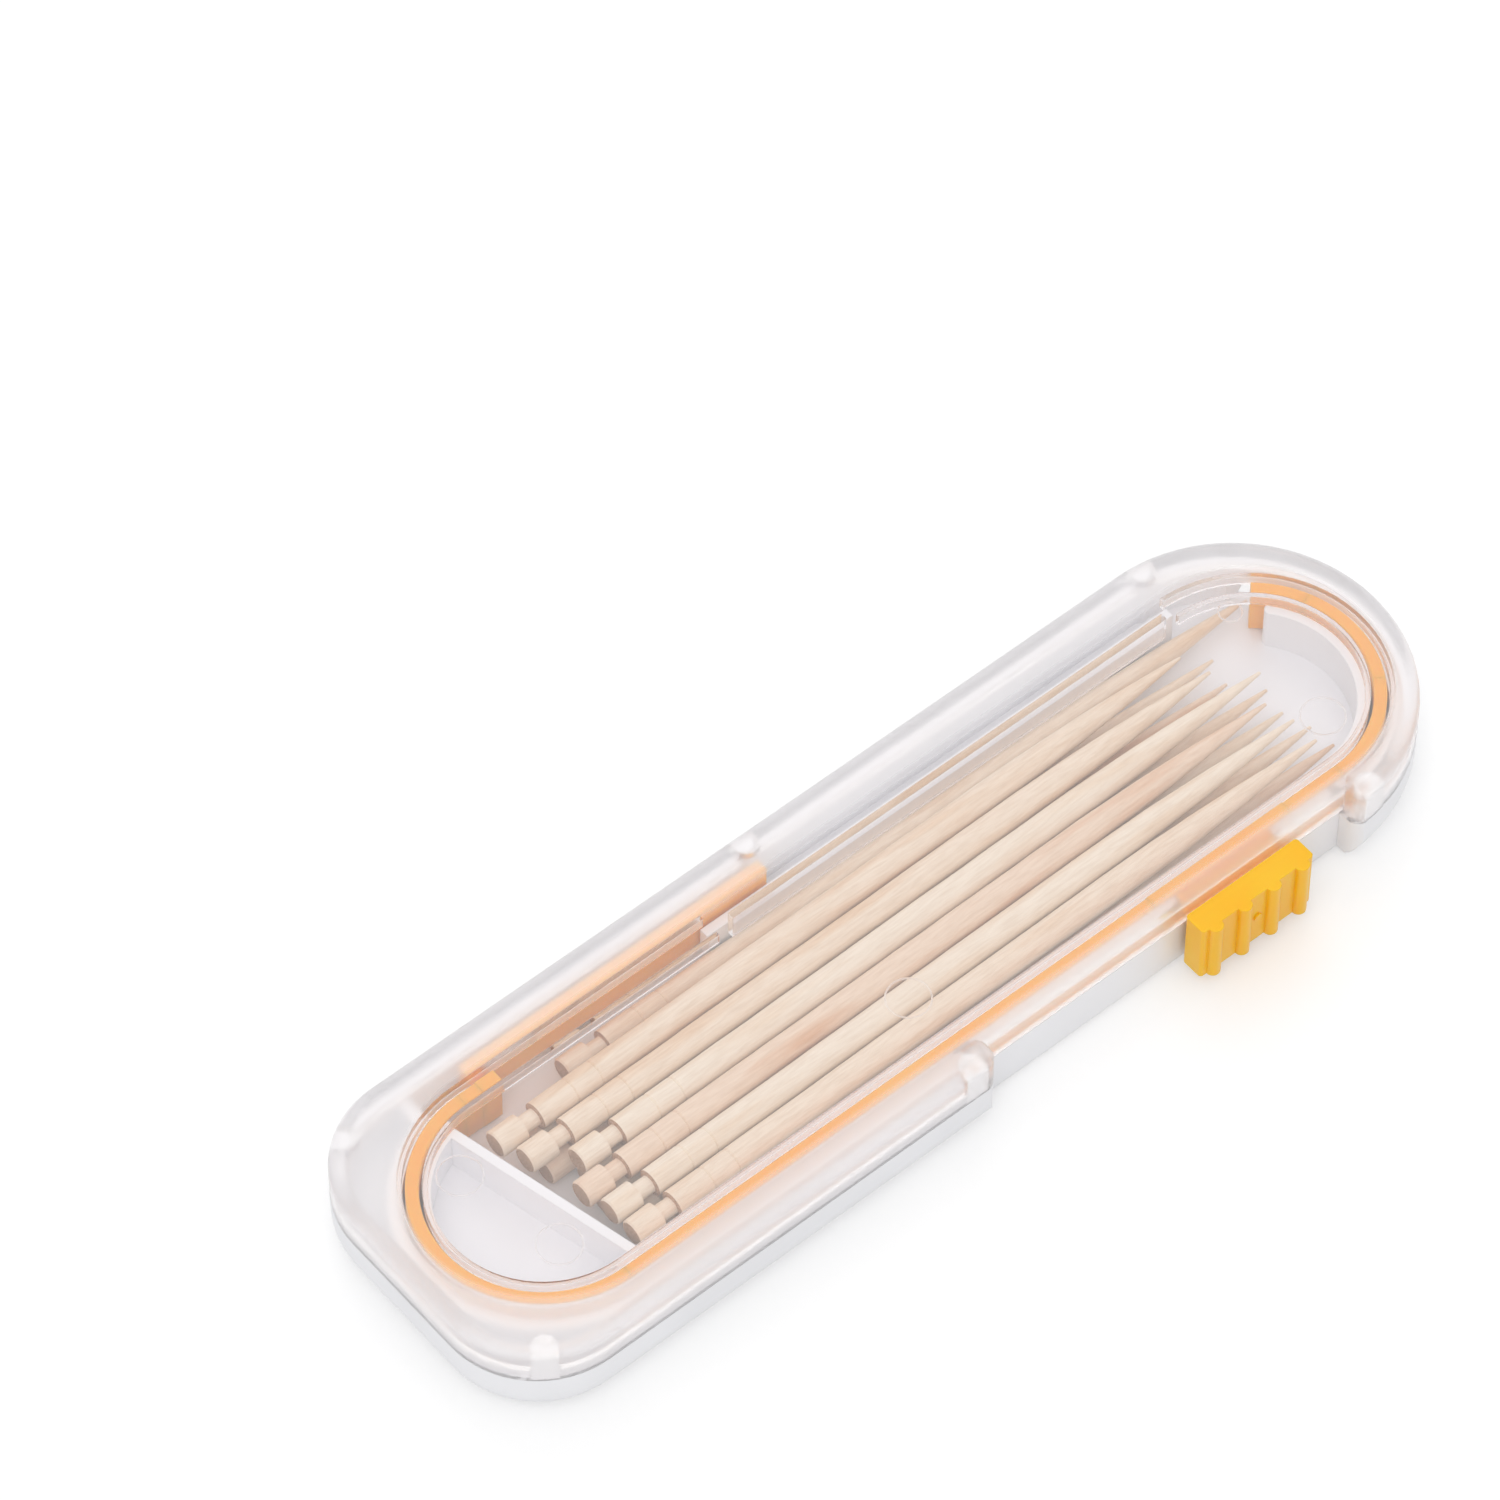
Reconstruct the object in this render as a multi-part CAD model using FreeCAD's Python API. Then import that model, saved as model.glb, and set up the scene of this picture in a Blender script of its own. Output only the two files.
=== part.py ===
import FreeCAD, Part
import math
import os

# Pocket toothpick dispenser, all sizes in millimetres.
# A white back shell and a clear clip-on cover hold toothpicks. One flexible
# strip runs on edge in a racetrack between them: its thumb slide sticks out of
# the side, one end is a shutter over the exit window and the other end pushes
# one toothpick at a time out along a lane beside the far wall.
# +X runs to the round exit end, -Y is the side of the thumb slide and +Z is the
# clear side. The origin is the middle of the flat back face.

# Toothpicks, which set the size of the case
pick_length = 66.0
pick_radius = 1.1
pick_sides = 12
pick_tip_radius = 0.12
pick_taper = 21.0
pick_shoulder = 9.0
pick_shoulder_radius = 0.82
pick_knob = 2.4
pick_neck = 1.3
pick_barrel = 3.4
pick_groove = 0.5
pick_neck_depth = 0.38
pick_groove_depth = 0.2
pick_spacing = 0.2
pick_gap = 0.1
picks_abreast = 7
heap_slack = 0.5
lane_gap = 0.2
lane_pick_lead = 5.2
tail_gap = 0.85
upper_stagger = (0.1, 0.35, 2.6, 0.45, 0.5, 0.0)
lower_stagger = (2.8, 1.6, 3.0, 2.0, 2.2, 1.9)
heap_skew = 0.8
heap_lane_gap = 0.6

# Case, both halves
case_spare = 26.4
corner_radius = 8.0
shell_height = 4.8
cover_height = 3.7

# Back shell
shell_wall = 1.2
shell_floor = 1.4
wall_root = 0.2
inner_wall_rise = 0.6
back_edge_radius = 2.8
rim_inset = 0.7
rim_height = 0.8
rim_gap = 0.1
inner_guide = 0.95
outer_guide = 1.05
divider = 0.8
divider_lead = 2.8
divider_overrun = 0.7
guide_end_angle = 39.0
exit_width = 3.2
exit_height = 2.8
exit_wall = 2.05
return_wall = 2.55
return_guide_end = 105.0

# End pocket beside the tails of the toothpicks
pocket_wall = 0.8
pocket_skin = 0.6
pocket_tilt = 13.1
pocket_lead = 0.35
pocket_floor = 0.6

# Recess for the thumb slide
recess_depth = 1.9
recess_end = 13.6
recess_mouth_radius = 1.1
recess_edge_radius = 0.8
recess_end_wall = 1.2

# Clear cover
cover_plate = 1.9
cover_rim = 1.5
cover_edge_radius = 1.05
cover_set_back = 0.35
slot_height = 0.8
fence_thickness = 0.35
fence_drop = 1.0
rib_thickness = 0.6
rib_clearance = 0.3
rib_lead = 1.7
rib_overrun = 0.8

# Snap pockets inside the cover's rim and the shell's pegs that stand in them
snap_width = 2.0
snap_skin = 0.3
snap_depth = 1.6
snap_height = 2.8
peg_gap = 0.25
peg_depth = 0.85
peg_height = 2.4
recess_to_snap = 2.0
corner_snap_angle = 54.7
exit_snap_angle = 82.2

# Flexible strip and its two ends
strip_thickness = 1.0
strip_gap = 0.25
strip_floor_gap = 0.3
strip_drop = 0.3
pusher_lead = 3.3
guide_bar_thickness = 1.0
guide_bar_gap = 0.95
guide_bar_length = 28.0
guide_bar_lead = 1.7
guide_bar_lift = 0.6
bridge_length = 0.85
bridge_width = 1.3
shutter_angle = 49.5
shutter_span = 26.0

# Thumb slide
slide_travel = 17.0
slide_park = 5.0
slide_far_gap = 1.8
slide_width = 10.8
slide_reach = 0.6
slide_rib_radius = 0.6
slide_rib_pitch = 2.8
slide_rib_count = 4
slide_base = 2.0
slide_height = 5.7
slide_base_height = 1.2
slide_gap = 0.3
slide_edge_radius = 0.3
neck_thickness = 0.4
neck_inset = 0.9
carrier_overhang = 1.2
gate_radius = 0.35
gate_height = 0.15

# Places worked out from the sizes above
pick_pitch = 2 * pick_radius + pick_spacing
row_width = (picks_abreast - 1) * pick_pitch + heap_slack
bar_room = shell_wall + guide_bar_gap + guide_bar_thickness
far_stack = bar_room + strip_gap + divider + lane_gap + pick_radius
strip_room = outer_guide + strip_gap + strip_thickness + strip_gap
near_stack = recess_depth + strip_room + inner_guide + pick_gap + pick_radius
half_length = (pick_length + case_spare) / 2
half_width = (far_stack + row_width + near_stack) / 2
round_end_x = half_length - half_width
case_top = shell_height + cover_height
rim_top = shell_height + rim_height
slot_top = shell_height + slot_height
cover_under = case_top - cover_plate
guide_bar_outer = half_width - shell_wall - guide_bar_gap
guide_bar_inner = guide_bar_outer - guide_bar_thickness
divider_outer = guide_bar_inner - strip_gap
lane_face = divider_outer - divider
far_strip_y = guide_bar_inner - bridge_length
near_strip_y = recess_depth + outer_guide + strip_gap - half_width
track_y = (far_strip_y + near_strip_y) / 2
strip_outer = (far_strip_y - near_strip_y) / 2
strip_inner = strip_outer - strip_thickness
strip_bottom = shell_floor + strip_floor_gap
strip_top = cover_under - strip_drop
inner_wall_top = shell_height + inner_wall_rise
fence_bottom = cover_under - fence_drop
inner_guide_outer = strip_inner - strip_gap
inner_guide_inner = inner_guide_outer - inner_guide
outer_guide_inner = strip_outer + strip_gap
outer_guide_outer = outer_guide_inner + outer_guide
exit_bend_x = half_length - exit_wall - outer_guide_inner
return_bend_x = return_wall + outer_guide_inner - half_length
recess_x1 = half_length - recess_end
slide_x = recess_x1 - slide_park - slide_width
recess_x0 = slide_x - slide_travel - slide_far_gap
recess_wall_y = track_y - outer_guide_outer
cover_recess_y = recess_wall_y - cover_set_back
cover_wall_y = cover_recess_y + cover_rim - cover_set_back
pusher_x = return_bend_x + pusher_lead
divider_x = pusher_x + slide_travel + divider_lead
lane_y = lane_face - lane_gap - pick_radius
lane_z = shell_floor + lane_gap + pick_radius
lower_z = shell_floor + pick_gap + pick_radius
pick_contact = 2 * pick_radius + pick_gap
heap_lead = 2 * pick_radius + heap_lane_gap
heap_pitch = (row_width - heap_lead) / (len(upper_stagger) - 1)


def vec(x, y, z=0.0):
    return FreeCAD.Vector(x, y, z)


def polar(cx, cy, radius, degrees, z=0.0):
    angle = math.radians(degrees)
    return vec(cx + radius * math.cos(angle), cy + radius * math.sin(angle), z)


def line(a, b):
    return Part.LineSegment(a, b).toShape()


def arc(cx, cy, radius, start, end, z=0.0):
    middle = (start + end) / 2
    points = [polar(cx, cy, radius, angle, z) for angle in (start, middle, end)]
    return Part.Arc(*points).toShape()


def prism(edges, bottom, top):
    """Straight solid over a closed run of edges."""
    face = Part.Face(Part.Wire(edges))
    face.translate(vec(0, 0, bottom))
    return face.extrude(vec(0, 0, top - bottom))


def block(x0, x1, y0, y1, z0, z1):
    return Part.makeBox(x1 - x0, y1 - y0, z1 - z0, vec(x0, y0, z0))


def post(x, y, radius, z0, z1):
    return Part.makeCylinder(radius, z1 - z0, vec(x, y, z0), vec(0, 0, 1))


def fuse(first, others):
    return first.fuse(others).removeSplitter()


def edges_at(shape, z):
    """Edges that lie wholly at one height."""
    found = []
    for edge in shape.Edges:
        box = edge.BoundBox
        if abs(box.ZMin - z) < 1e-4 and abs(box.ZMax - z) < 1e-4:
            found.append(edge)
    return found


def case_plan(inset):
    """Outline of the case: one full round end and one end with two corners."""
    side = half_width - inset
    left = inset - half_length
    radius = corner_radius - inset
    corner_x = left + radius
    corner_y = side - radius
    return [
        line(vec(corner_x, -side), vec(round_end_x, -side)),
        arc(round_end_x, 0, side, -90, 90),
        line(vec(round_end_x, side), vec(corner_x, side)),
        arc(corner_x, corner_y, radius, 90, 180),
        line(vec(left, corner_y), vec(left, -corner_y)),
        arc(corner_x, -corner_y, radius, 180, 270),
    ]


def sector(cx, radius, thickness, start, end, z0, z1):
    """Upright wall bent round one end of the strip's track."""
    inner = radius - thickness
    far_end = line(polar(cx, track_y, radius, end), polar(cx, track_y, inner, end))
    near_end = line(polar(cx, track_y, inner, start), polar(cx, track_y, radius, start))
    outside = arc(cx, track_y, radius, start, end)
    inside = arc(cx, track_y, inner, end, start)
    return prism([outside, far_end, inside, near_end], z0, z1)


def track_wall(x0, x1, side, inner, outer, z0, z1):
    """Straight wall along one side of the track, by its distances from the middle."""
    y0, y1 = sorted((track_y + side * inner, track_y + side * outer))
    return block(x0, x1, y0, y1, z0, z1)


def recess_cutter(wall_y, z0, z1):
    """Side recess of the thumb slide, with a rounded mouth."""
    mouth = recess_mouth_radius
    outside = -half_width - mouth
    lip = mouth - half_width
    left, right = recess_x0, recess_x1
    return prism(
        [
            line(vec(left - mouth, outside), vec(left - mouth, -half_width)),
            arc(left - mouth, lip, mouth, -90, 0),
            line(vec(left, lip), vec(left, wall_y)),
            line(vec(left, wall_y), vec(right, wall_y)),
            line(vec(right, wall_y), vec(right, lip)),
            arc(right + mouth, lip, mouth, 180, 270),
            line(vec(right + mouth, -half_width), vec(right + mouth, outside)),
            line(vec(right + mouth, outside), vec(left - mouth, outside)),
        ],
        z0,
        z1,
    )


def rounded_recess(wall_y, z0, z1, edge_z):
    """Recess cutter that leaves the case a rounded edge at one height."""
    x0 = recess_x0 - 2 * recess_mouth_radius
    x1 = recess_x1 + 2 * recess_mouth_radius
    case = block(x0, x1, -half_width, 0.0, z0, z1)
    case = case.cut(recess_cutter(wall_y, z0 - 1, z1 + 1))
    edges = [edge for edge in edges_at(case, edge_z) if edge.BoundBox.YMax < wall_y + 1e-4]
    case = case.makeFillet(recess_edge_radius, edges)
    room = block(x0, x1, -half_width - 1, -1.0, min(z0, edge_z) - 1, max(z1, edge_z) + 1)
    return room.cut(case)


def snap_places():
    """Point on the outer face and outward direction of each snap."""
    middle_x = recess_x0 - recess_to_snap
    corner_x = corner_radius - half_length
    corner_y = half_width - corner_radius
    places = []
    for side in (1, -1):
        corner_way = 180 - corner_snap_angle
        corner = polar(corner_x, corner_y, corner_radius, corner_way)
        places.append((corner.x, side * corner.y, side * corner_way))
        places.append((middle_x, side * half_width, side * 90.0))
        end = polar(round_end_x, 0, half_width, exit_snap_angle)
        places.append((end.x, side * end.y, side * exit_snap_angle))
    return places


def turned(shape, place):
    """Carry a shape drawn at the origin, facing +X, to a snap's place."""
    x, y, way = place
    shape.rotate(vec(0, 0), vec(0, 0, 1), way)
    shape.translate(vec(x, y))
    return shape


def half_round(front, depth, width, z0, z1):
    """Upright post with a flat front and a half-round back, facing +X."""
    half = width / 2
    straight = depth - half
    return prism(
        [
            line(vec(-front, -half), vec(-front, half)),
            line(vec(-front, half), vec(-front - straight, half)),
            arc(-front - straight, 0, half, 90, 270),
            line(vec(-front - straight, -half), vec(-front, -half)),
        ],
        z0,
        z1,
    )


def pocket_face_x(y, set_back):
    """X of the tilted wall's faces at height y across the case."""
    tilt = math.radians(pocket_tilt)
    across = (y - track_y) * math.tan(tilt)
    return return_bend_x + pocket_lead - set_back / math.cos(tilt) - across


def pocket_plan(radius, set_back, z0, z1):
    """Part of a disc on the far side of the tilted wall's face."""
    disc = post(return_bend_x, track_y, radius, z0, z1)
    reach = 2 * half_width
    away = return_bend_x - 2 * reach
    beyond = prism(
        [
            line(vec(pocket_face_x(reach, set_back), reach), vec(away, reach)),
            line(vec(away, reach), vec(away, -reach)),
            line(vec(away, -reach), vec(pocket_face_x(-reach, set_back), -reach)),
            line(
                vec(pocket_face_x(-reach, set_back), -reach),
                vec(pocket_face_x(reach, set_back), reach),
            ),
        ],
        z0,
        z1,
    )
    return disc.common(beyond)


def shell_tray():
    """Outer tray with its rounded back edge."""
    outer = prism(case_plan(0.0), 0.0, shell_height)
    outer = outer.makeFillet(back_edge_radius, edges_at(outer, 0.0))
    hollow = prism(case_plan(shell_wall), shell_floor, shell_height + 1)
    return outer.cut(hollow)


def recess_zone(margin, z0, z1):
    """Block round the recess, where the cover stays solid and the rim stops."""
    return block(
        recess_x0 - margin, recess_x1 + margin, -half_width, cover_wall_y, z0, z1
    )


def shell_rim():
    """Thin rim inside the shell's edge that keeps the cover in place."""
    low = back_edge_radius
    rim = prism(case_plan(rim_inset), low, rim_top)
    rim = rim.cut(prism(case_plan(shell_wall), low - 1, rim_top + 1))
    return rim.cut(recess_zone(cover_rim + rim_gap, low - 1, rim_top + 1))


def inner_guides(low):
    """Wall inside the strip: along the slide side and round the exit end."""
    run = track_wall(
        return_bend_x, exit_bend_x, -1, inner_guide_inner, inner_guide_outer,
        low, inner_wall_top,
    )
    bend = sector(
        exit_bend_x, inner_guide_outer, inner_guide, -90, guide_end_angle,
        low, inner_wall_top,
    )
    middle = inner_guide_outer - inner_guide / 2
    tip = polar(exit_bend_x, track_y, middle, guide_end_angle)
    nose = post(tip.x, tip.y, inner_guide / 2, low, inner_wall_top)
    return [run, bend, nose]


def outer_guides(low):
    """Lower wall outside the strip, which is also the back of the recess."""
    back = sector(
        return_bend_x, outer_guide_outer, outer_guide, return_guide_end, 270,
        low, shell_height,
    )
    run = track_wall(
        return_bend_x, exit_bend_x, -1, outer_guide_inner, outer_guide_outer,
        low, shell_height,
    )
    front = sector(
        exit_bend_x, outer_guide_outer, outer_guide, -90, guide_end_angle,
        low, shell_height,
    )
    envelope = prism(case_plan(shell_wall / 2), low, shell_height)
    end = polar(return_bend_x, track_y, outer_guide_outer - outer_guide / 2, return_guide_end)
    stop = block(
        end.x - outer_guide / 2, end.x + outer_guide / 2, end.y, half_width - shell_wall / 2,
        low, shell_height,
    )
    return [back, run, front.common(envelope), stop]


def recess_ends(low):
    """Solid corners that close the wall at each end of the recess."""
    y0 = -half_width + shell_wall / 2
    y1 = recess_wall_y + outer_guide / 2
    mouth = recess_end_wall + recess_mouth_radius
    left = block(recess_x0 - mouth, recess_x0, y0, y1, low, shell_height)
    right = block(recess_x1, recess_x1 + mouth, y0, y1, low, shell_height)
    return [left, right.common(prism(case_plan(shell_wall / 2), low, shell_height))]


def end_pocket(low):
    """D-shaped pocket whose tilted wall stops the toothpick tails."""
    body = pocket_plan(inner_guide_outer, 0.0, low, inner_wall_top)
    hollow = pocket_plan(
        inner_guide_outer - pocket_skin, pocket_wall, shell_floor + pocket_floor,
        inner_wall_top + 1,
    )
    return body.cut(hollow)


def back_shell():
    low = shell_floor - wall_root
    rail = block(
        divider_x, exit_bend_x + divider_overrun,
        lane_face, divider_outer, low, shell_height,
    )
    pegs = []
    for place in snap_places():
        peg = half_round(
            snap_skin + peg_gap, peg_depth, snap_width - 2 * peg_gap,
            low, shell_height + peg_height,
        )
        pegs.append(turned(peg, place))
    walls = inner_guides(low) + outer_guides(low) + recess_ends(low)
    body = fuse(shell_tray(), walls + [end_pocket(low), rail, shell_rim()] + pegs)
    window = block(
        exit_bend_x + outer_guide_inner / 2, half_length + 1,
        lane_y - exit_width / 2, lane_y + exit_width / 2,
        shell_floor, shell_floor + exit_height,
    )
    recess = rounded_recess(recess_wall_y, 0.0, rim_top + 1, 0.0)
    return body.cut(recess).cut(window)


def strip_fence(inner):
    """Thin rib under the cover, beside one face of the strip's top edge."""
    outer = inner + fence_thickness
    top = cover_under + cover_plate / 2
    low = fence_bottom
    return [
        sector(return_bend_x, outer, fence_thickness, 90, 270, low, top),
        track_wall(return_bend_x, exit_bend_x, -1, inner, outer, low, top),
        sector(exit_bend_x, outer, fence_thickness, -90, 90, low, top),
        track_wall(return_bend_x, divider_x, 1, inner, outer, low, top),
    ]


def cover_body():
    """Cover with its rounded top edge, its recess and the slot for the slide's neck."""
    body = prism(case_plan(0.0), shell_height, case_top)
    body = body.makeFillet(cover_edge_radius, edges_at(body, case_top))
    body = body.cut(rounded_recess(cover_recess_y, shell_height - 1, case_top, case_top))
    low = shell_height - 1
    hollow = prism(case_plan(cover_rim), low, cover_under)
    lap = prism(case_plan(rim_inset - rim_gap), low, rim_top + rim_gap)
    hollow = hollow.fuse(lap).cut(recess_zone(cover_rim, low - 1, case_top))
    return body.cut([hollow, recess_zone(0.0, low, slot_top)])


def clear_cover():
    rib = block(
        divider_x + rib_lead, exit_bend_x - rib_overrun,
        lane_face - rib_clearance - rib_thickness, lane_face - rib_clearance,
        lane_z + pick_radius + rib_clearance, cover_under + cover_plate / 2,
    )
    inner = strip_inner - strip_gap - fence_thickness
    fences = strip_fence(inner) + strip_fence(strip_outer + strip_gap)
    body = fuse(cover_body(), fences + [rib])
    pockets = []
    for place in snap_places():
        pocket = half_round(
            snap_skin, snap_depth, snap_width, shell_height - 1,
            shell_height + snap_height,
        )
        pockets.append(turned(pocket, place))
    return body.cut(pockets)


def strip_run(x0, x1, side):
    """Straight length of the strip on one side of the case."""
    return track_wall(x0, x1, side, strip_inner, strip_outer, strip_bottom, strip_top)


def strip_bend(cx, start, end):
    return sector(cx, strip_outer, strip_thickness, start, end, strip_bottom, strip_top)


def carrier_ends():
    """X of both ends of the stiff length of strip behind the thumb slide."""
    return slide_x - carrier_overhang, slide_x + slide_width + carrier_overhang


def slide_button():
    """Thumb slide: ribbed outer block, flat neck through the slot, carrier."""
    x0, x1 = slide_x, slide_x + slide_width
    inner_y = cover_recess_y - slide_gap
    face_y = inner_y - slide_base
    top = slide_base_height + slide_height
    body = block(x0, x1, face_y, inner_y, slide_base_height, top)
    upright = [edge for edge in body.Edges if abs(edge.BoundBox.ZLength - slide_height) < 1e-4]
    body = body.makeFillet(slide_edge_radius, upright)
    middle = (x0 + x1) / 2
    first = middle - slide_rib_pitch * (slide_rib_count - 1) / 2
    rib_y = face_y - (slide_reach - slide_rib_radius)
    pieces = []
    for index in range(slide_rib_count):
        x = first + index * slide_rib_pitch
        half = slide_rib_radius
        pieces.append(post(x, rib_y, half, slide_base_height, top))
        pieces.append(block(x - half, x + half, rib_y, face_y + half, slide_base_height, top))
    gate_root = vec(middle, face_y + slide_base / 2, (top + slide_base_height) / 2)
    gate = Part.makeCylinder(gate_radius, gate_height + slide_base / 2, gate_root, vec(0, -1, 0))
    neck_middle = shell_height + slot_height / 2
    neck = block(
        x0 + neck_inset, x1 - neck_inset, inner_y - slide_base / 2,
        near_strip_y + strip_thickness / 2,
        neck_middle - neck_thickness / 2, neck_middle + neck_thickness / 2,
    )
    left, right = carrier_ends()
    return fuse(body, pieces + [gate, neck, strip_run(left, right, -1)])


def strip_pusher():
    """Blunt end of the strip with the guide bar beside it."""
    heel_x = pusher_x - guide_bar_lead
    end = strip_run(heel_x, pusher_x, 1)
    bar = block(
        heel_x, heel_x + guide_bar_length, guide_bar_inner, guide_bar_outer,
        strip_bottom + guide_bar_lift, strip_top,
    )
    overlap = strip_thickness / 4
    bridge = block(
        heel_x, heel_x + bridge_width, far_strip_y - overlap,
        guide_bar_inner + overlap, strip_bottom + guide_bar_lift, fence_bottom - strip_gap,
    )
    return fuse(end, [bar, bridge])


def strip_pieces():
    """The rest of the strip, cut where its lengths bend or stretch."""
    left, right = carrier_ends()
    trailing = shutter_angle - shutter_span
    return {
        "strip_shutter": strip_bend(exit_bend_x, trailing, shutter_angle),
        "strip_exit_bend": strip_bend(exit_bend_x, -90, trailing),
        "strip_front_run": strip_run(right, exit_bend_x, -1),
        "strip_rear_run": strip_run(return_bend_x, left, -1),
        "strip_return_bend": strip_bend(return_bend_x, 90, 270),
        "strip_far_run": strip_run(return_bend_x, pusher_x - guide_bar_lead, 1),
    }


def pick_ring(x, radius):
    """Corners of the toothpick across its length, with flat sides to keep it light."""
    corners = [polar(0, 0, radius, 360 * side / pick_sides) for side in range(pick_sides)]
    return [vec(x, corner.x, corner.y) for corner in corners]


def flat_face(corners):
    return Part.Face(Part.makePolygon(corners + corners[:1]))


def faceted(rings):
    """Solid with flat faces between rings of corners and a flat face at each end."""
    faces = [flat_face(rings[0]), flat_face(rings[-1])]
    for ring, following in zip(rings, rings[1:]):
        for side in range(pick_sides):
            after = (side + 1) % pick_sides
            corners = [ring[side], ring[after], following[after], following[side]]
            faces.append(flat_face(corners))
    return Part.Solid(Part.Shell(faces))


def toothpick():
    """Turned toothpick along +X from its tail at the origin."""
    rings = [(0.0, pick_radius)]
    x = pick_knob
    for depth, length in ((pick_neck_depth, pick_neck), (pick_groove_depth, pick_groove)):
        rings += [
            (x, pick_radius),
            (x + length / 2, pick_radius - depth),
            (x + length, pick_radius),
        ]
        x += length + pick_barrel
    rings += [
        (pick_length - pick_taper, pick_radius),
        (pick_length - pick_shoulder, pick_shoulder_radius),
        (pick_length, pick_tip_radius),
    ]
    return faceted([pick_ring(x, radius) for x, radius in rings])


def placed_pick(tail_x, tail_y, z, skew):
    pick = toothpick()
    pick.rotate(vec(0, 0), vec(0, 0, 1), math.degrees(math.asin(skew / pick_length)))
    pick.translate(vec(tail_x, tail_y, z))
    return pick


def lower_across(index):
    """Distance of a lower toothpick from the lane, the last one beside the near wall."""
    return row_width - (len(lower_stagger) - 1 - index) * pick_contact


def upper_across(index):
    return heap_lead + index * heap_pitch


def upper_height(index):
    """Height at which an upper toothpick rests on the lower one beside it."""
    aside = upper_across(index) - lower_across(index)
    return lower_z + math.sqrt(pick_contact ** 2 - aside ** 2)


def heap_pick(across, back, z):
    """Toothpick in the heap, its tail set back from the end pocket's wall."""
    y = lane_y - across
    return placed_pick(pocket_face_x(y, 0.0) + tail_gap + back, y, z, heap_skew)


def toothpicks():
    """Lane toothpick first, then the lower layer, then the upper layer."""
    picks = [placed_pick(pusher_x + lane_pick_lead, lane_y, lane_z, 0.0)]
    for index, back in enumerate(lower_stagger):
        picks.append(heap_pick(lower_across(index), back, lower_z))
    for index, back in enumerate(upper_stagger):
        picks.append(heap_pick(upper_across(index), back, upper_height(index)))
    return picks


def main():
    nodes = {
        "back_shell": back_shell(),
        "clear_cover": clear_cover(),
        "slide_button": slide_button(),
        "strip_pusher": strip_pusher(),
    }
    nodes.update(strip_pieces())
    for number, pick in enumerate(toothpicks(), start=1):
        nodes[f"toothpick_{number:02d}"] = pick
    os.makedirs("parts", exist_ok=True)
    for name, shape in nodes.items():
        solids = len(shape.Solids)
        print(f"{name}: {solids} solid, {shape.Volume:.1f} mm3, valid {shape.isValid()}")
        shape.exportStep(f"parts/{name}.step")


main()
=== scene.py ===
"""Pocket toothpick dispenser: white shell, clear cover, orange strip with its slide, birch toothpicks."""

import math

import bmesh
import bpy
from mathutils import Matrix, Vector, noise


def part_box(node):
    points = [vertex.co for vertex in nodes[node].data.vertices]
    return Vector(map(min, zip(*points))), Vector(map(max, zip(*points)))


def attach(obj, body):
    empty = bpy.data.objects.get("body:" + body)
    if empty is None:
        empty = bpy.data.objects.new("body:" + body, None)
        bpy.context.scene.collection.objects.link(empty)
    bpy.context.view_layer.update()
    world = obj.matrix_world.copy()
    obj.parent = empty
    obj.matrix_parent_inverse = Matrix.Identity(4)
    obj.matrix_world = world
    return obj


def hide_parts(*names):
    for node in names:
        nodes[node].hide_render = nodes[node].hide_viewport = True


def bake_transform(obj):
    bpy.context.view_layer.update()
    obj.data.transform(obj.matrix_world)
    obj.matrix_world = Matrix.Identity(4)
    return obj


MM = 0.001
WELD = 1e-7

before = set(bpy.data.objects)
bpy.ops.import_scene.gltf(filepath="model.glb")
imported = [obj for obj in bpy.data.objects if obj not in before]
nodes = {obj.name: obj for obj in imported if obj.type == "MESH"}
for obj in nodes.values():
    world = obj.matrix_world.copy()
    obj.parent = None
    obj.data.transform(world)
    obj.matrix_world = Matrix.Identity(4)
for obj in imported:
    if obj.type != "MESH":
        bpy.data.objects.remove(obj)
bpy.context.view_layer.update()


# Camera: above the square end, looking along the case and down on its cover, in mm and degrees
CAMERA_PLACE = (-239.415, -269.861, 539.517)
CAMERA_AZIMUTH = -39.859
CAMERA_ELEVATION = 54.727
CAMERA_LENS = 212.976
CAMERA_SENSOR = 36


def aim(obj, position, azimuth, elevation):
    """Stand obj at position, looking down by elevation, with its right edge turned by azimuth."""
    a, e = math.radians(azimuth), math.radians(elevation)
    right = Vector((math.cos(a), math.sin(a), 0))
    back = Vector((math.sin(a) * math.cos(e), -math.cos(a) * math.cos(e), math.sin(e)))
    up = back.cross(right)
    turn = Matrix((right, up, back)).transposed().to_4x4()
    obj.matrix_world = Matrix.Translation(Vector(position) * MM) @ turn


def add_camera():
    data = bpy.data.cameras.new("camera")
    camera = bpy.data.objects.new("camera", data)
    bpy.context.scene.collection.objects.link(camera)
    bpy.context.scene.camera = camera
    data.sensor_width = CAMERA_SENSOR
    data.lens = CAMERA_LENS
    data.clip_start = 0.01
    data.clip_end = 10
    aim(camera, CAMERA_PLACE, CAMERA_AZIMUTH, CAMERA_ELEVATION)


add_camera()


# Middle line of the strip's racetrack, in mm
TRACK_Y = -0.4
TRACK_RADIUS = 9.4
EXIT_BEND_X = 34.0
RETURN_BEND_X = -33.5

# Cover's polished window and the matt margin outside it, by distance from that line
WINDOW_EDGE = 10.0
WINDOW_FADE = 0.5
WINDOW_ROUGHNESS = 0.04
WINDOW_CLEARNESS = 0.93
MARGIN_ROUGHNESS = 0.3
MARGIN_CLEARNESS = 0.74

# Back of the slide's block and front of the strip behind it, across the case
BLOCK_BACK_Y = -12.0
CARRIER_Y = -11.0


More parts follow.
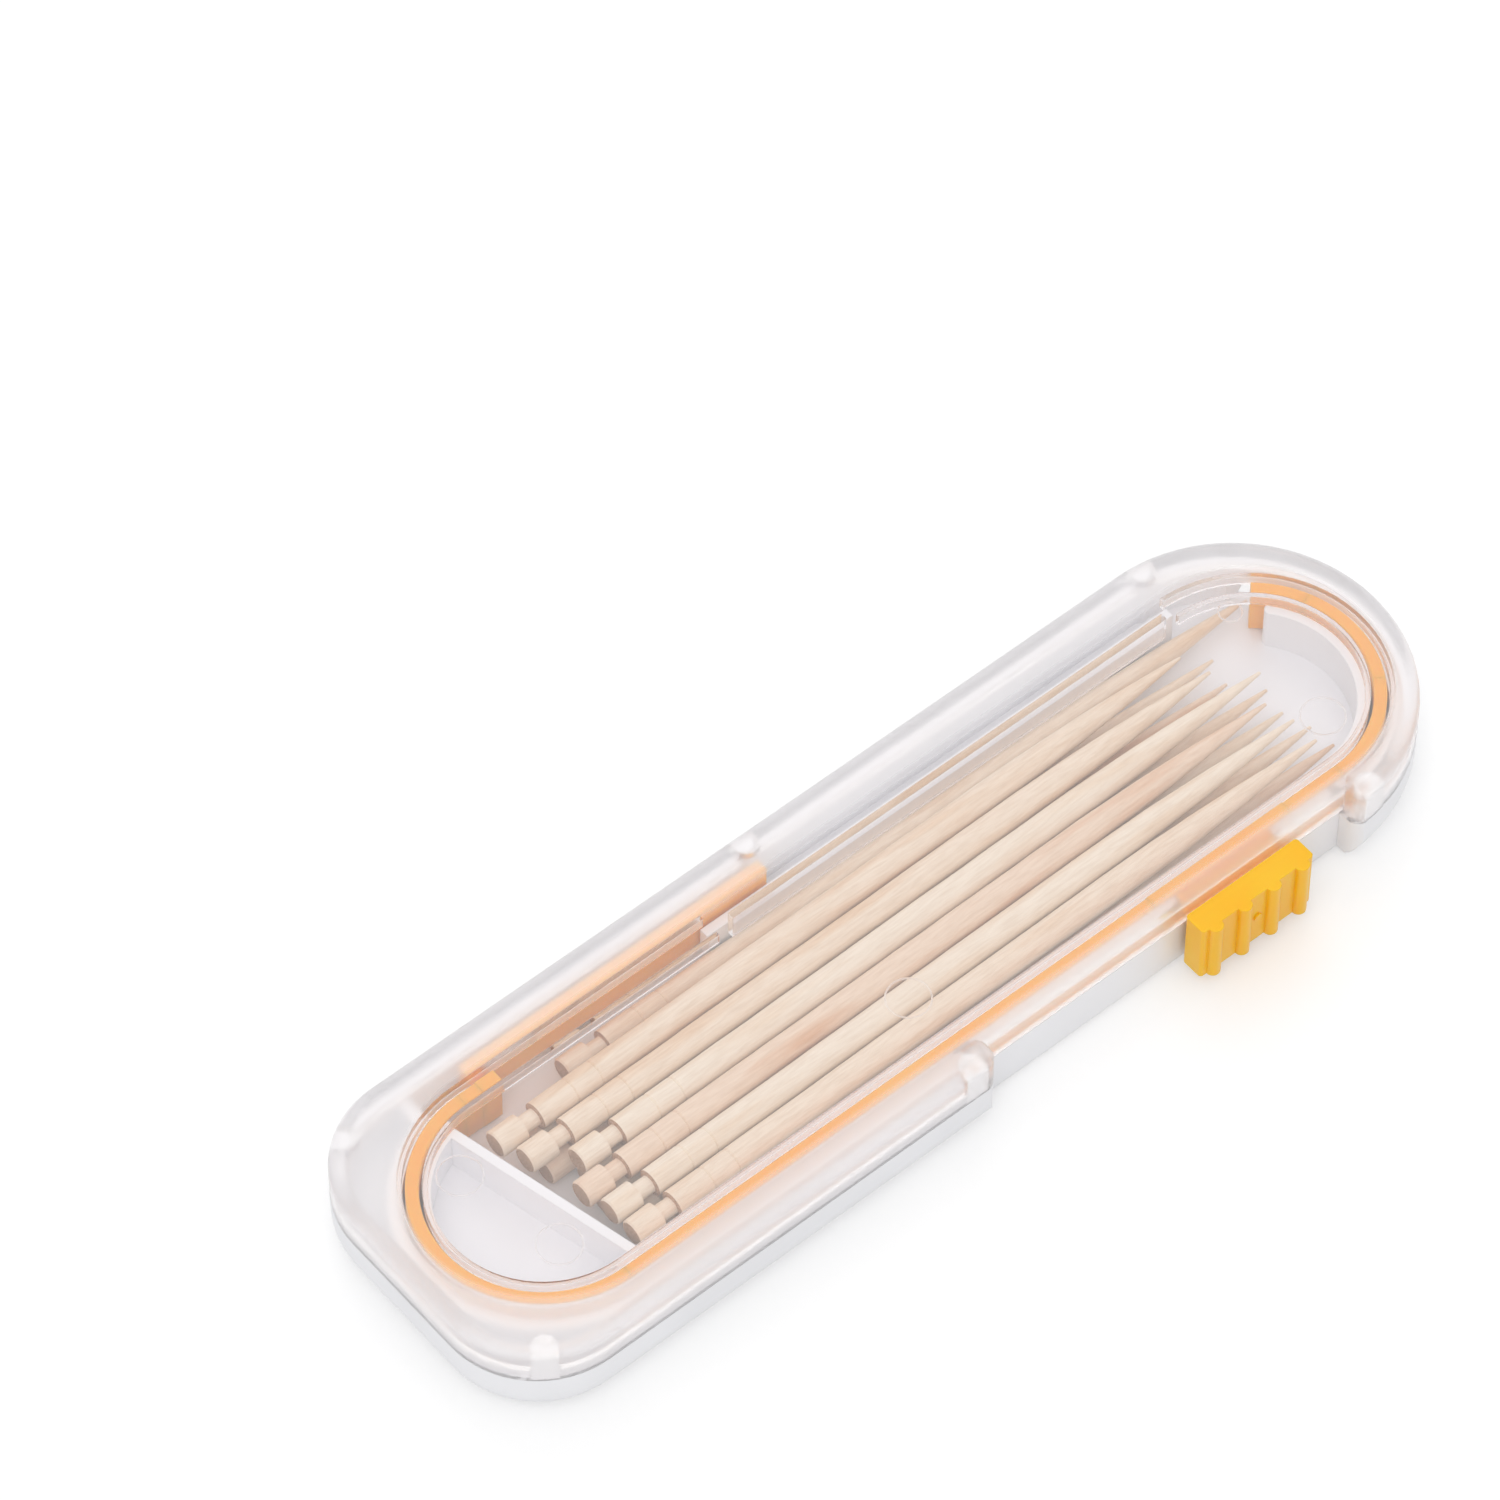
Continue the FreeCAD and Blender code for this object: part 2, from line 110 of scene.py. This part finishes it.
# Materials
def linear(hex_colour):
    """sRGB hex colour as linear RGBA."""
    channels = [int(hex_colour[i : i + 2], 16) / 255 for i in (0, 2, 4)]
    curve = lambda c: c / 12.92 if c <= 0.04045 else ((c + 0.055) / 1.055) ** 2.4
    return (*[curve(c) for c in channels], 1)


def add_node(tree, kind, settings=None, **links):
    """One shader node with its settings and its links, each a value or a (node, output) pair."""
    node = tree.nodes.new(kind)
    for name, value in (settings or {}).items():
        setattr(node, name, value)
    for name, value in links.items():
        socket = node.inputs[int(name[1:])] if name[0] == "_" else node.inputs[name.replace("_", " ")]
        if isinstance(value, tuple) and isinstance(value[0], bpy.types.Node):
            tree.links.new(value[0].outputs[value[1]], socket)
        else:
            socket.default_value = value
    return node


def new_material(name):
    material = bpy.data.materials.new(name)
    material.use_nodes = True
    tree = material.node_tree
    tree.nodes.clear()
    return material, tree


def finish_material(tree, shader):
    add_node(tree, "ShaderNodeOutputMaterial", Surface=(shader, 0))


def object_space(tree, size_mm, stretch=(1, 1, 1)):
    """Object coordinates in which one unit is size_mm long, stretched along the axes."""
    place = add_node(tree, "ShaderNodeTexCoord")
    scale = [1 / (size_mm * MM * s) for s in stretch]
    return add_node(tree, "ShaderNodeMapping", Vector=(place, "Object"), Scale=scale)


def skin_bump(tree, grain_mm, height_mm, strength, round_mm=0.0):
    """Fine surface texture, over edges softened to round_mm."""
    grain = add_node(
        tree, "ShaderNodeTexNoise", Vector=(object_space(tree, grain_mm), 0), Scale=1.0, Detail=3.0
    )
    links = {"Height": (grain, "Fac"), "Strength": strength, "Distance": height_mm * MM}
    if round_mm:
        links["Normal"] = (add_node(tree, "ShaderNodeBevel", {"samples": 4}, Radius=round_mm * MM), 0)
    return add_node(tree, "ShaderNodeBump", **links)


def two_tone(tree, source, dark, light, low=0.35, high=0.65):
    """Colour that runs from dark to light as the source texture rises."""
    ramp = add_node(tree, "ShaderNodeValToRGB", Fac=source)
    for element, place, colour in zip(ramp.color_ramp.elements, (low, high), (dark, light)):
        element.position = place
        element.color = linear(colour)
    return ramp


def moulded_white():
    """White polystyrene, injection moulded: even satin skin with the tool's faint ripple."""
    material, tree = new_material("moulded_white_polystyrene")
    ripple = add_node(
        tree, "ShaderNodeTexNoise", Vector=(object_space(tree, 9), 0), Scale=1.0, Detail=2.0
    )
    tint = two_tone(tree, (ripple, "Fac"), "F3F3F6", "F8F8FB")
    shader = add_node(
        tree,
        "ShaderNodeBsdfPrincipled",
        Base_Color=(tint, "Color"),
        Normal=(skin_bump(tree, 0.25, 0.02, 0.1, 0.12), "Normal"),
        Roughness=0.36,
        IOR=1.55,
    )
    finish_material(tree, shader)
    return material


def beyond_track(tree):
    """Distance in mm from the middle line of the strip's racetrack, as seen from above."""
    place = add_node(tree, "ShaderNodeSeparateXYZ", Vector=(object_space(tree, 1.0), 0))
    middle = (EXIT_BEND_X + RETURN_BEND_X) / 2
    reach = (EXIT_BEND_X - RETURN_BEND_X) / 2
    along = add_node(tree, "ShaderNodeMath", {"operation": "SUBTRACT"}, _0=(place, "X"), _1=middle)
    along = add_node(tree, "ShaderNodeMath", {"operation": "ABSOLUTE"}, _0=(along, 0))
    along = add_node(tree, "ShaderNodeMath", {"operation": "SUBTRACT"}, _0=(along, 0), _1=reach)
    along = add_node(tree, "ShaderNodeMath", {"operation": "MAXIMUM"}, _0=(along, 0), _1=0.0)
    across = add_node(tree, "ShaderNodeMath", {"operation": "SUBTRACT"}, _0=(place, "Y"), _1=TRACK_Y)
    flat = add_node(tree, "ShaderNodeCombineXYZ", X=(along, 0), Y=(across, 0))
    return add_node(tree, "ShaderNodeVectorMath", {"operation": "LENGTH"}, _0=(flat, 0))


def polished_clear():
    """Clear polystyrene: a polished window over the toothpicks, and a matt, milky margin outside the strip.

    Light that is turned back inside a thick edge leaves it, so that the rim glows instead of going dark.
    """
    material, tree = new_material("polished_clear_polystyrene")
    margin = add_node(
        tree,
        "ShaderNodeMapRange",
        {"interpolation_type": "SMOOTHSTEP"},
        Value=(beyond_track(tree), "Value"),
        From_Min=WINDOW_EDGE,
        From_Max=WINDOW_EDGE + WINDOW_FADE,
    )
    roughness = add_node(
        tree,
        "ShaderNodeMapRange",
        Value=(margin, 0),
        To_Min=WINDOW_ROUGHNESS,
        To_Max=MARGIN_ROUGHNESS,
    )
    clearness = add_node(
        tree,
        "ShaderNodeMapRange",
        Value=(margin, 0),
        To_Min=WINDOW_CLEARNESS,
        To_Max=MARGIN_CLEARNESS,
    )
    shader = add_node(
        tree,
        "ShaderNodeBsdfPrincipled",
        Base_Color=linear("FDFBFB"),
        Normal=(skin_bump(tree, 14, 0.01, 0.1, 0.1), "Normal"),
        Roughness=(roughness, 0),
        Transmission_Weight=(clearness, 0),
        IOR=1.5,
    )
    through = add_node(tree, "ShaderNodeBsdfTransparent", Color=linear("FDFCFC"))
    path = add_node(tree, "ShaderNodeLightPath")
    leaving = add_node(
        tree, "ShaderNodeMixShader", _0=(path, "Is Reflection Ray"), _1=(shader, 0), _2=(through, 0)
    )
    mix = add_node(
        tree, "ShaderNodeMixShader", _0=(path, "Is Shadow Ray"), _1=(leaving, 0), _2=(through, 0)
    )
    finish_material(tree, mix)
    return material


def moulded_orange():
    """Orange polypropylene, waxy satin: the thumb slide's thick block is yellower than the thin strip."""
    material, tree = new_material("moulded_orange_polypropylene")
    flow = add_node(
        tree, "ShaderNodeTexNoise", Vector=(object_space(tree, 6), 0), Scale=1.0, Detail=2.0
    )
    strip_tint = two_tone(tree, (flow, "Fac"), "FFA928", "FFB234", 0.3, 0.7)
    block_tint = two_tone(tree, (flow, "Fac"), "FFBE12", "FFC620", 0.3, 0.7)
    place = add_node(tree, "ShaderNodeSeparateXYZ", Vector=(object_space(tree, 1.0), 0))
    inside = add_node(
        tree, "ShaderNodeMapRange", Value=(place, "Y"), From_Min=BLOCK_BACK_Y, From_Max=CARRIER_Y
    )
    tint = add_node(
        tree,
        "ShaderNodeMix",
        {"data_type": "RGBA"},
        _0=(inside, 0),
        _6=(block_tint, "Color"),
        _7=(strip_tint, "Color"),
    )
    shader = add_node(
        tree,
        "ShaderNodeBsdfPrincipled",
        Base_Color=(tint, 2),
        Normal=(skin_bump(tree, 0.3, 0.02, 0.1, 0.1), "Normal"),
        Roughness=0.3,
        IOR=1.49,
        Subsurface_Weight=0.45,
        Subsurface_Scale=0.7 * MM,
        Subsurface_Radius=(1.0, 0.5, 0.15),
    )
    finish_material(tree, shader)
    return material


def turned_birch(tint, dark, light, streak):
    """Bare turned birch: pale, with fine short fibres along the stick and a soft broad figure."""
    material, tree = new_material("turned_birch_" + tint)
    fibre = add_node(
        tree,
        "ShaderNodeTexNoise",
        Vector=(object_space(tree, 0.22, (9, 1, 1)), 0),
        Scale=1.0,
        Detail=3.0,
        Roughness=0.6,
    )
    figure = add_node(
        tree,
        "ShaderNodeTexNoise",
        Vector=(object_space(tree, 1.6, (9, 1, 1)), 0),
        Scale=1.0,
        Detail=2.0,
    )
    fibres = two_tone(tree, (fibre, "Fac"), dark, light, 0.3, 0.62)
    blush = two_tone(tree, (figure, "Fac"), streak, "FFFFFF", 0.3, 0.5)
    mixed = add_node(
        tree,
        "ShaderNodeMix",
        {"data_type": "RGBA", "blend_type": "MULTIPLY"},
        _0=0.8,
        _6=(fibres, "Color"),
        _7=(blush, "Color"),
    )
    bump = add_node(
        tree, "ShaderNodeBump", Height=(fibre, "Fac"), Strength=0.4, Distance=0.02 * MM
    )
    shader = add_node(
        tree,
        "ShaderNodeBsdfPrincipled",
        Base_Color=(mixed, 2),
        Normal=(bump, "Normal"),
        Roughness=0.62,
    )
    finish_material(tree, shader)
    return material


white_plastic = moulded_white()
clear_plastic = polished_clear()
orange_plastic = moulded_orange()
birches = (
    turned_birch("cream", "E8D0B6", "F5E2CC", "F5E4D2"),
    turned_birch("rosy", "E6C9AE", "F2D9C1", "EDCBAD"),
    turned_birch("pale", "ECD9C2", "F7E8D4", "F7EADC"),
)


def dress(obj, material):
    obj.data.materials.clear()
    obj.data.materials.append(material)


for name, obj in nodes.items():
    if name.startswith("toothpick"):
        dress(obj, birches[0])
    elif name == "back_shell":
        dress(obj, white_plastic)
    elif name == "clear_cover":
        dress(obj, clear_plastic)
    else:
        dress(obj, orange_plastic)


def object_from(mesh, name, material):
    """Scene object of a finished bmesh, with its material."""
    bmesh.ops.recalc_face_normals(mesh, faces=mesh.faces)
    data = bpy.data.meshes.new(name)
    mesh.to_mesh(data)
    mesh.free()
    obj = bpy.data.objects.new(name, data)
    bpy.context.scene.collection.objects.link(obj)
    dress(obj, material)
    return obj


# Flexible strip, on edge in its track, with softly rounded edges all along it
SHUTTER_START = 23.5
SHUTTER_END = 49.5
SLIDER_REAR_X = 15.6
SLIDER_FRONT_X = 28.8
PUSHER_HEEL_X = -31.9
STRIP_THICKNESS = 1.0
STRIP_EDGE = 0.14
STRIP_EDGE_SEGMENTS = 3
STRIP_SMOOTH_ANGLE = 40
BEND_STEP = 3
RUN_STEPS = 32
strip_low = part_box("strip_rear_run")[0].z / MM
strip_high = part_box("strip_rear_run")[1].z / MM


def strip_section(x, y):
    """Upright section of the strip across Y, with rounded edges, as a bmesh."""
    mesh = bmesh.new()
    bmesh.ops.create_grid(mesh, x_segments=1, y_segments=1, size=0.5)
    bmesh.ops.rotate(mesh, verts=mesh.verts, matrix=Matrix.Rotation(math.pi / 2, 3, "Y"))
    height = strip_high - strip_low
    bmesh.ops.scale(mesh, verts=mesh.verts, vec=(1, STRIP_THICKNESS, height))
    bmesh.ops.bevel(
        mesh,
        geom=mesh.verts[:],
        offset=STRIP_EDGE,
        segments=STRIP_EDGE_SEGMENTS,
        profile=0.5,
        affect="VERTICES",
        material=-1,
    )
    bmesh.ops.translate(mesh, verts=mesh.verts, vec=(x, y, strip_low + height / 2))
    return mesh


def swept(mesh, name, steps, centre, angle=0.0, along=(0, 0, 0)):
    """Sweep the section round centre by angle, or straight along, and close its ends."""
    start = mesh.faces[:]
    geometry = mesh.verts[:] + mesh.edges[:] + start
    bmesh.ops.spin(
        mesh,
        geom=geometry,
        cent=centre,
        axis=(0, 0, 1),
        angle=math.radians(angle),
        dvec=Vector(along) / steps,
        steps=steps,
        use_duplicate=False,
    )
    bmesh.ops.scale(mesh, verts=mesh.verts, vec=(MM, MM, MM))
    bmesh.ops.remove_doubles(mesh, verts=mesh.verts, dist=WELD)
    obj = object_from(mesh, name, orange_plastic)
    obj.data.shade_smooth()
    obj.data.set_sharp_from_angle(angle=math.radians(STRIP_SMOOTH_ANGLE))
    return obj


def strip_bend(name, bend_x, start, end):
    """Length of strip round one end of the track, between two angles."""
    mesh = strip_section(bend_x, TRACK_Y - TRACK_RADIUS)
    bmesh.ops.rotate(
        mesh,
        verts=mesh.verts,
        cent=(bend_x, TRACK_Y, 0),
        matrix=Matrix.Rotation(math.radians(start + 90), 3, "Z"),
    )
    steps = round((end - start) / BEND_STEP)
    return swept(mesh, name, steps, (bend_x, TRACK_Y, 0), angle=end - start)


def strip_run(name, x0, x1, side):
    """Straight length of strip on the slide side, -1, or the far side, 1."""
    mesh = strip_section(x0, TRACK_Y + side * TRACK_RADIUS)
    return swept(mesh, name, RUN_STEPS, (0, 0, 0), along=(x1 - x0, 0, 0))


def place_exit_bend():
    """The strip's bend round the exit end, from the slide side to the shutter's start, as two lengths of
    half the arc each.
    """
    span = (SHUTTER_START + 90) / 2
    for number, side in ((1, 1), (2, -1)):
        low = -90 + span * (number - 1)
        length = strip_bend(f"strip_exit_skin_{number}", EXIT_BEND_X, low, low + span)
        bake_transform(length)
        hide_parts("strip_exit_bend")


def place_strip():
    """The strip's lengths: the shutter on its body, the return bend on the shell, and the rest in place."""
    shutter = strip_bend("strip_shutter_skin", EXIT_BEND_X, SHUTTER_START, SHUTTER_END)
    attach(shutter, "shutter")
    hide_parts("strip_shutter")
    return_bend = strip_bend("strip_return_skin", RETURN_BEND_X, 90, 270)
    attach(return_bend, "shell")
    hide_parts("strip_return_bend")
    place_exit_bend()
    for name, still, moving, side, body in (
        ("strip_front_run", EXIT_BEND_X, SLIDER_FRONT_X, -1, "slider"),
        ("strip_rear_run", RETURN_BEND_X, SLIDER_REAR_X, -1, "slider"),
        ("strip_far_run", RETURN_BEND_X, PUSHER_HEEL_X, 1, "pusher"),
    ):
        run = strip_run(name + "_skin", still, moving, side)
        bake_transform(run)
        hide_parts(name)


place_strip()


# Turned toothpicks, each a spun profile with the slight unevenness of a cut and tumbled stick
PICK_LENGTH = 66.0
PICK_TAPER = 21.0
PICK_TAPER_CURVE = 2.2
PICK_TIP_RADIUS = 0.12
PICK_CHAMFER = 0.12
PICK_KNOB = 2.4
PICK_NECK = 1.3
PICK_NECK_DEPTH = 0.4
PICK_STEP = 0.08
PICK_BARREL = 3.4
PICK_SECOND_BARREL = 2.3
PICK_LINE = 0.2
PICK_LINE_DEPTH = 0.08
PICK_SIDES = 28
PICK_STATIONS = 24
PICK_SWELL = 0.03
PICK_SWELL_LENGTH = 2.5
PICK_BOW = 0.1
PICK_NOISE_STEP = 11.0
PICK_SMOOTH_ANGLE = 35
TAIL_FACE_X = -0.9
PICK_TINTS = (0, 0, 1, 0, 2, 0, 1, 0, 0, 2, 1, 2, 0)


def pick_profile(radius):
    """Stations along the stick from its tail, each a distance and a radius."""
    neck_end = PICK_KNOB + PICK_NECK
    neck_radius = radius - PICK_NECK_DEPTH
    stations = [
        (0.0, 0.0),
        (0.0, radius - PICK_CHAMFER),
        (PICK_CHAMFER, radius),
        (PICK_KNOB - PICK_STEP, radius),
        (PICK_KNOB, neck_radius),
        (neck_end, neck_radius),
        (neck_end + PICK_STEP, radius),
    ]
    x = neck_end
    for barrel in (PICK_BARREL, PICK_SECOND_BARREL):
        x += barrel
        stations += [
            (x - PICK_LINE, radius),
            (x - PICK_LINE / 2, radius - PICK_LINE_DEPTH),
            (x, radius),
        ]
    taper_start = PICK_LENGTH - PICK_TAPER
    for index in range(1, PICK_STATIONS + 1):
        stations.append((x + (taper_start - x) * index / PICK_STATIONS, radius))
    for index in range(1, PICK_STATIONS + 1):
        along = index / PICK_STATIONS
        narrow = PICK_TIP_RADIUS + (radius - PICK_TIP_RADIUS) * (1 - along**PICK_TAPER_CURVE)
        stations.append((taper_start + PICK_TAPER * along, narrow))
    return stations + [(PICK_LENGTH, 0.0)]


def shaded_end_grain():
    """Sawn birch across the fibres: partly its own darker end grain and partly painted shade of the narrow
    gap where the tails stand against the wall, so it is browner than the turned sides.
    """
    material, tree = new_material("sawn_birch_end_grain_painted_shade")
    pores = add_node(
        tree, "ShaderNodeTexNoise", Vector=(object_space(tree, 0.15), 0), Scale=1.0, Detail=2.0
    )
    tint = two_tone(tree, (pores, "Fac"), "A07858", "C9A384")
    shader = add_node(
        tree, "ShaderNodeBsdfPrincipled", Base_Color=(tint, "Color"), Roughness=0.85
    )
    finish_material(tree, shader)
    return material


shaded_sawn_end = shaded_end_grain()


def turned_pick(number):
    """Smooth toothpick in the place of its node, a little swollen and bowed in its own way."""
    node = f"toothpick_{number:02d}"
    low, high = [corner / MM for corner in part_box(node)]
    radius = (high.z - low.z) / 2
    skew = (high.y - low.y - 2 * radius) * PICK_LENGTH / (PICK_LENGTH - PICK_TAPER)
    mesh = bmesh.new()
    last = None
    for x, station_radius in pick_profile(radius):
        corner = mesh.verts.new((x, 0, station_radius))
        if last:
            mesh.edges.new((last, corner))
        last = corner
    bmesh.ops.spin(
        mesh,
        geom=mesh.verts[:] + mesh.edges[:],
        cent=(0, 0, 0),
        axis=(1, 0, 0),
        angle=math.tau,
        steps=PICK_SIDES,
        use_merge=True,
        use_duplicate=False,
    )
    bmesh.ops.remove_doubles(mesh, verts=mesh.verts, dist=WELD / MM)
    shift = Vector((0, 0, PICK_NOISE_STEP * number))
    bow = PICK_BOW * noise.noise(shift)
    for vert in mesh.verts:
        swell = 1 + PICK_SWELL * noise.noise(vert.co / PICK_SWELL_LENGTH + shift)
        rise = bow * math.sin(math.pi * vert.co.x / PICK_LENGTH)
        vert.co = (vert.co.x, vert.co.y * swell + rise, vert.co.z * swell)
    turn = Matrix.Rotation(math.asin(skew / PICK_LENGTH), 4, "Z")
    place = Matrix.Translation((low.x, low.y + radius, low.z + radius))
    bmesh.ops.transform(mesh, matrix=Matrix.Scale(MM, 4) @ place @ turn, verts=mesh.verts)
    pick = object_from(mesh, node + "_skin", birches[PICK_TINTS[number - 1]])
    # The tail ends get the end-grain brown, which is partly painted shade of the gap against the wall.
    pick.data.materials.append(shaded_sawn_end)
    for face in pick.data.polygons:
        face.material_index = 1 if face.normal.x < TAIL_FACE_X else 0
    pick.data.shade_smooth()
    pick.data.set_sharp_from_angle(angle=math.radians(PICK_SMOOTH_ANGLE))
    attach(pick, "lane_pick" if number == 1 else "shell")
    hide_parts(node)


for pick_number in range(1, len(PICK_TINTS) + 1):
    turned_pick(pick_number)


# Witness rings under the cover's plate: centre and radius of each
PLATE_UNDERSIDE = 6.6
RING_BEAD = 0.07
RING_BEAD_SIDES = 8
RING_STEPS = 48
RINGS = (
    (-3.4, -5.0, 1.7),
    (36.2, -5.6, 1.7),
    (-35.9, -5.1, 1.7),
    (-37.7, 3.9, 1.7),
    (37.3, 5.9, 0.9),
)


def witness_rings():
    """Faint raised rings that the mould's ejector pins leave under the cover's plate."""
    mesh = bmesh.new()
    for x, y, radius in RINGS:
        bead = bmesh.ops.create_circle(mesh, segments=RING_BEAD_SIDES, radius=RING_BEAD)["verts"]
        edges = list({edge for vert in bead for edge in vert.link_edges})
        bmesh.ops.rotate(mesh, verts=bead, matrix=Matrix.Rotation(math.pi / 2, 3, "X"))
        bmesh.ops.translate(mesh, verts=bead, vec=(x + radius, y, PLATE_UNDERSIDE - RING_BEAD))
        bmesh.ops.spin(
            mesh,
            geom=bead + edges,
            cent=(x, y, 0),
            axis=(0, 0, 1),
            angle=math.tau,
            steps=RING_STEPS,
            use_merge=True,
            use_duplicate=False,
        )
    bmesh.ops.scale(mesh, verts=mesh.verts, vec=(MM, MM, MM))
    bmesh.ops.remove_doubles(mesh, verts=mesh.verts, dist=WELD)
    rings = object_from(mesh, "cover_witness_rings", clear_plastic)
    rings.data.shade_smooth()
    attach(rings, "cover")


witness_rings()


# Pale floor, white surround and soft studio light, in metres and watts
FLOOR_HALF = 3.0
FLOOR_DROP = 0.0001
FLOOR_LIFT = 0.33
SURROUND_LIGHT = 0.78
LAMPS = (
    ("key", (-0.48, -0.45, 0.95), 0.8, 2.9),
    ("fill", (0.5, 0.8, 0.8), 0.9, 2.3),
)


def seen_directly(tree):
    """1 for a ray that sees the surround plainly, mirrored or through glass, and 0 for one that lights."""
    path = add_node(tree, "ShaderNodeLightPath")
    seen = add_node(
        tree,
        "ShaderNodeMath",
        {"operation": "ADD", "use_clamp": True},
        _0=(path, "Is Camera Ray"),
        _1=(path, "Is Glossy Ray"),
    )
    return add_node(
        tree,
        "ShaderNodeMath",
        {"operation": "ADD", "use_clamp": True},
        _0=(seen, 0),
        _1=(path, "Is Transmission Ray"),
    )


def pale_floor():
    """Matt paper that takes the shadow, and that a direct look sees a little lifted, up to white."""
    mesh = bmesh.new()
    bmesh.ops.create_grid(mesh, x_segments=1, y_segments=1, size=FLOOR_HALF)
    data = bpy.data.meshes.new("floor")
    mesh.to_mesh(data)
    mesh.free()
    floor = bpy.data.objects.new("floor", data)
    bpy.context.scene.collection.objects.link(floor)
    floor.location.z = -FLOOR_DROP
    material, tree = new_material("pale_floor")
    paper = add_node(tree, "ShaderNodeBsdfDiffuse", Color=linear("DCDCDC"))
    glow = add_node(
        tree,
        "ShaderNodeMath",
        {"operation": "MULTIPLY"},
        _0=(seen_directly(tree), 0),
        _1=FLOOR_LIFT,
    )
    lift = add_node(tree, "ShaderNodeEmission", Strength=(glow, 0))
    lifted = add_node(tree, "ShaderNodeAddShader", _0=(paper, 0), _1=(lift, 0))
    finish_material(tree, lifted)
    dress(floor, material)


def studio_surround():
    """Even white surround: full white to look at, and softer as a light."""
    world = bpy.data.worlds.new("studio")
    bpy.context.scene.world = world
    world.use_nodes = True
    tree = world.node_tree
    tree.nodes.clear()
    strength = add_node(
        tree,
        "ShaderNodeMapRange",
        Value=(seen_directly(tree), 0),
        To_Min=SURROUND_LIGHT,
        To_Max=1.0,
    )
    background = add_node(
        tree, "ShaderNodeBackground", Color=linear("FFFFFF"), Strength=(strength, 0)
    )
    add_node(tree, "ShaderNodeOutputWorld", Surface=(background, 0))


def studio_lamps():
    """Two soft lamps aimed at the case and kept out of its reflections, so the cover stays clear."""
    for name, place, size, power in LAMPS:
        data = bpy.data.lights.new(name, "AREA")
        data.size = size
        data.energy = power
        lamp = bpy.data.objects.new(name, data)
        bpy.context.scene.collection.objects.link(lamp)
        lamp.location = place
        lamp.visible_glossy = False
        lamp.rotation_euler = (-Vector(place)).to_track_quat("-Z", "Y").to_euler()


pale_floor()
studio_surround()
studio_lamps()
bpy.context.scene.view_settings.view_transform = "Standard"
